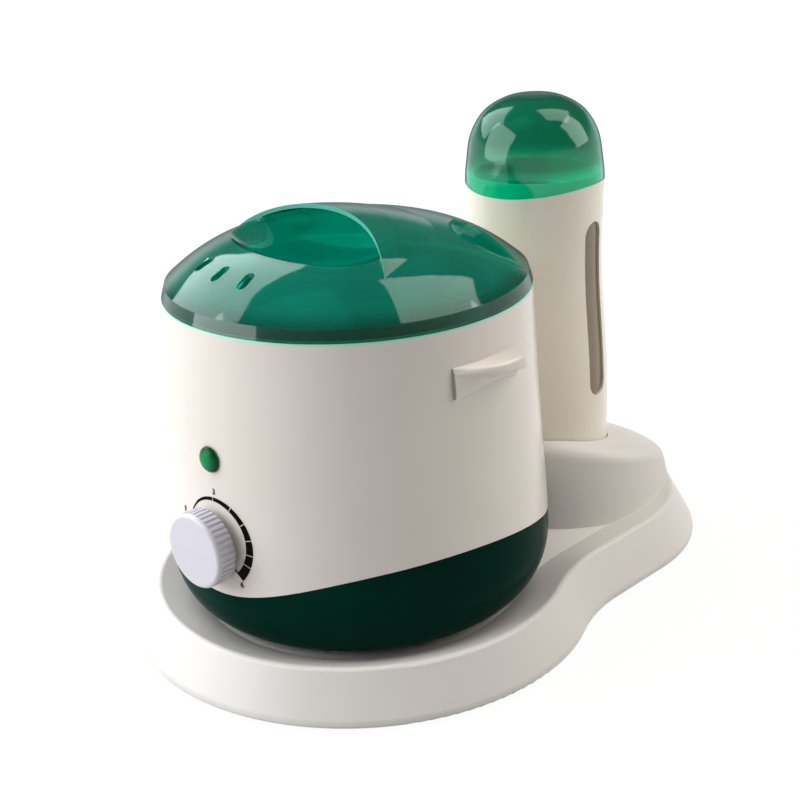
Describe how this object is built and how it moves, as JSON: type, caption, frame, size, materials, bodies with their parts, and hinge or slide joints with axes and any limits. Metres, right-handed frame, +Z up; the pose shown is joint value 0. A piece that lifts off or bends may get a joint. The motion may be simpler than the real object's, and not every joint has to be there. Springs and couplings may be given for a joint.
{
  "type": "wax warmer",
  "caption": "Wax warmer with a lidded, thermostat-controlled wax pot and a capped roll-on heater standing together in a dished base tray.",
  "frame": {"origin": "on the table, at the middle of the base tray's length and width", "axes": "+Z up, the pot's knob faces -Y, and the roll-on heater stands towards +Y"},
  "size_m": [0.222, 0.318, 0.2315],
  "materials": {
    "body_white": "gloss",
    "tray_white": "satin",
    "knob_white": "satin",
    "bowl_green": "gloss",
    "lid_green": "gloss, translucent",
    "lens_green": "gloss, translucent",
    "window_beige": "gloss, smoked",
    "foot_rubber": "matte",
    "gland_rubber": "matte",
    "inner_plastic": "matte",
    "contact_brass": "bright",
    "screw_steel": "zinc plated",
    "thermostat_steel": "satin",
    "well_aluminium": "satin",
    "wax_pot_aluminium": "satin",
    "lamp_glass": "clear"
  },
  "bodies": {
    "station": {"base_tray": "tray_white", "base_cover_plate": "tray_white", "base_screws": "screw_steel", "base_feet": "foot_rubber", "dock_contact_block": "inner_plastic", "dock_contacts": "contact_brass", "station_cord_gland": "gland_rubber"},
    "pot": {"pot_shell": "body_white", "pot_base": "bowl_green", "side_grip_left": "body_white", "side_grip_right": "body_white", "pot_feet": "foot_rubber", "pot_base_screws": "screw_steel", "heating_well": "well_aluminium", "heater_band": "inner_plastic", "thermal_fuse": "contact_brass", "terminal_block": "inner_plastic", "thermostat_body": "thermostat_steel", "thermostat_nut": "contact_brass", "indicator_lens": "lens_green", "indicator_lamp": "lamp_glass", "pot_cord_gland": "gland_rubber"},
    "knob": {"control_knob": "knob_white", "thermostat_shaft": "thermostat_steel"},
    "wax_pot": {"wax_pot": "wax_pot_aluminium"},
    "lid": {"lid": "lid_green"},
    "roll_on_heater": {"heater_shell": "body_white", "heater_collar": "body_white", "heater_window_left": "window_beige", "heater_window_right": "window_beige", "heater_liner": "well_aluminium", "heater_element": "thermostat_steel", "heater_limiter": "inner_plastic", "heater_base_cap": "inner_plastic", "heater_contacts": "contact_brass"},
    "cap": {"heater_cap": "lid_green"}
  },
  "joints": [
    {"name": "pot_lift", "type": "slide", "parent": "station", "child": "pot", "axis": [0, 0, 1], "range_m": [0, 0.08]},
    {"name": "knob_turn", "type": "hinge", "parent": "pot", "child": "knob", "pos_m": [0, -0.144, 0.0697], "axis": [0, 1, 0], "range_deg": [0, 193]},
    {"name": "wax_pot_lift", "type": "slide", "parent": "pot", "child": "wax_pot", "axis": [0, 0, 1], "range_m": [0, 0.12]},
    {"name": "lid_lift", "type": "slide", "parent": "wax_pot", "child": "lid", "axis": [0, 0, 1], "range_m": [0, 0.12]},
    {"name": "heater_lift", "type": "slide", "parent": "station", "child": "roll_on_heater", "axis": [0, 0, 1], "range_m": [0, 0.2]},
    {"name": "cap_lift", "type": "slide", "parent": "roll_on_heater", "child": "cap", "axis": [0, 0, 1], "range_m": [0, 0.09]}
  ]
}
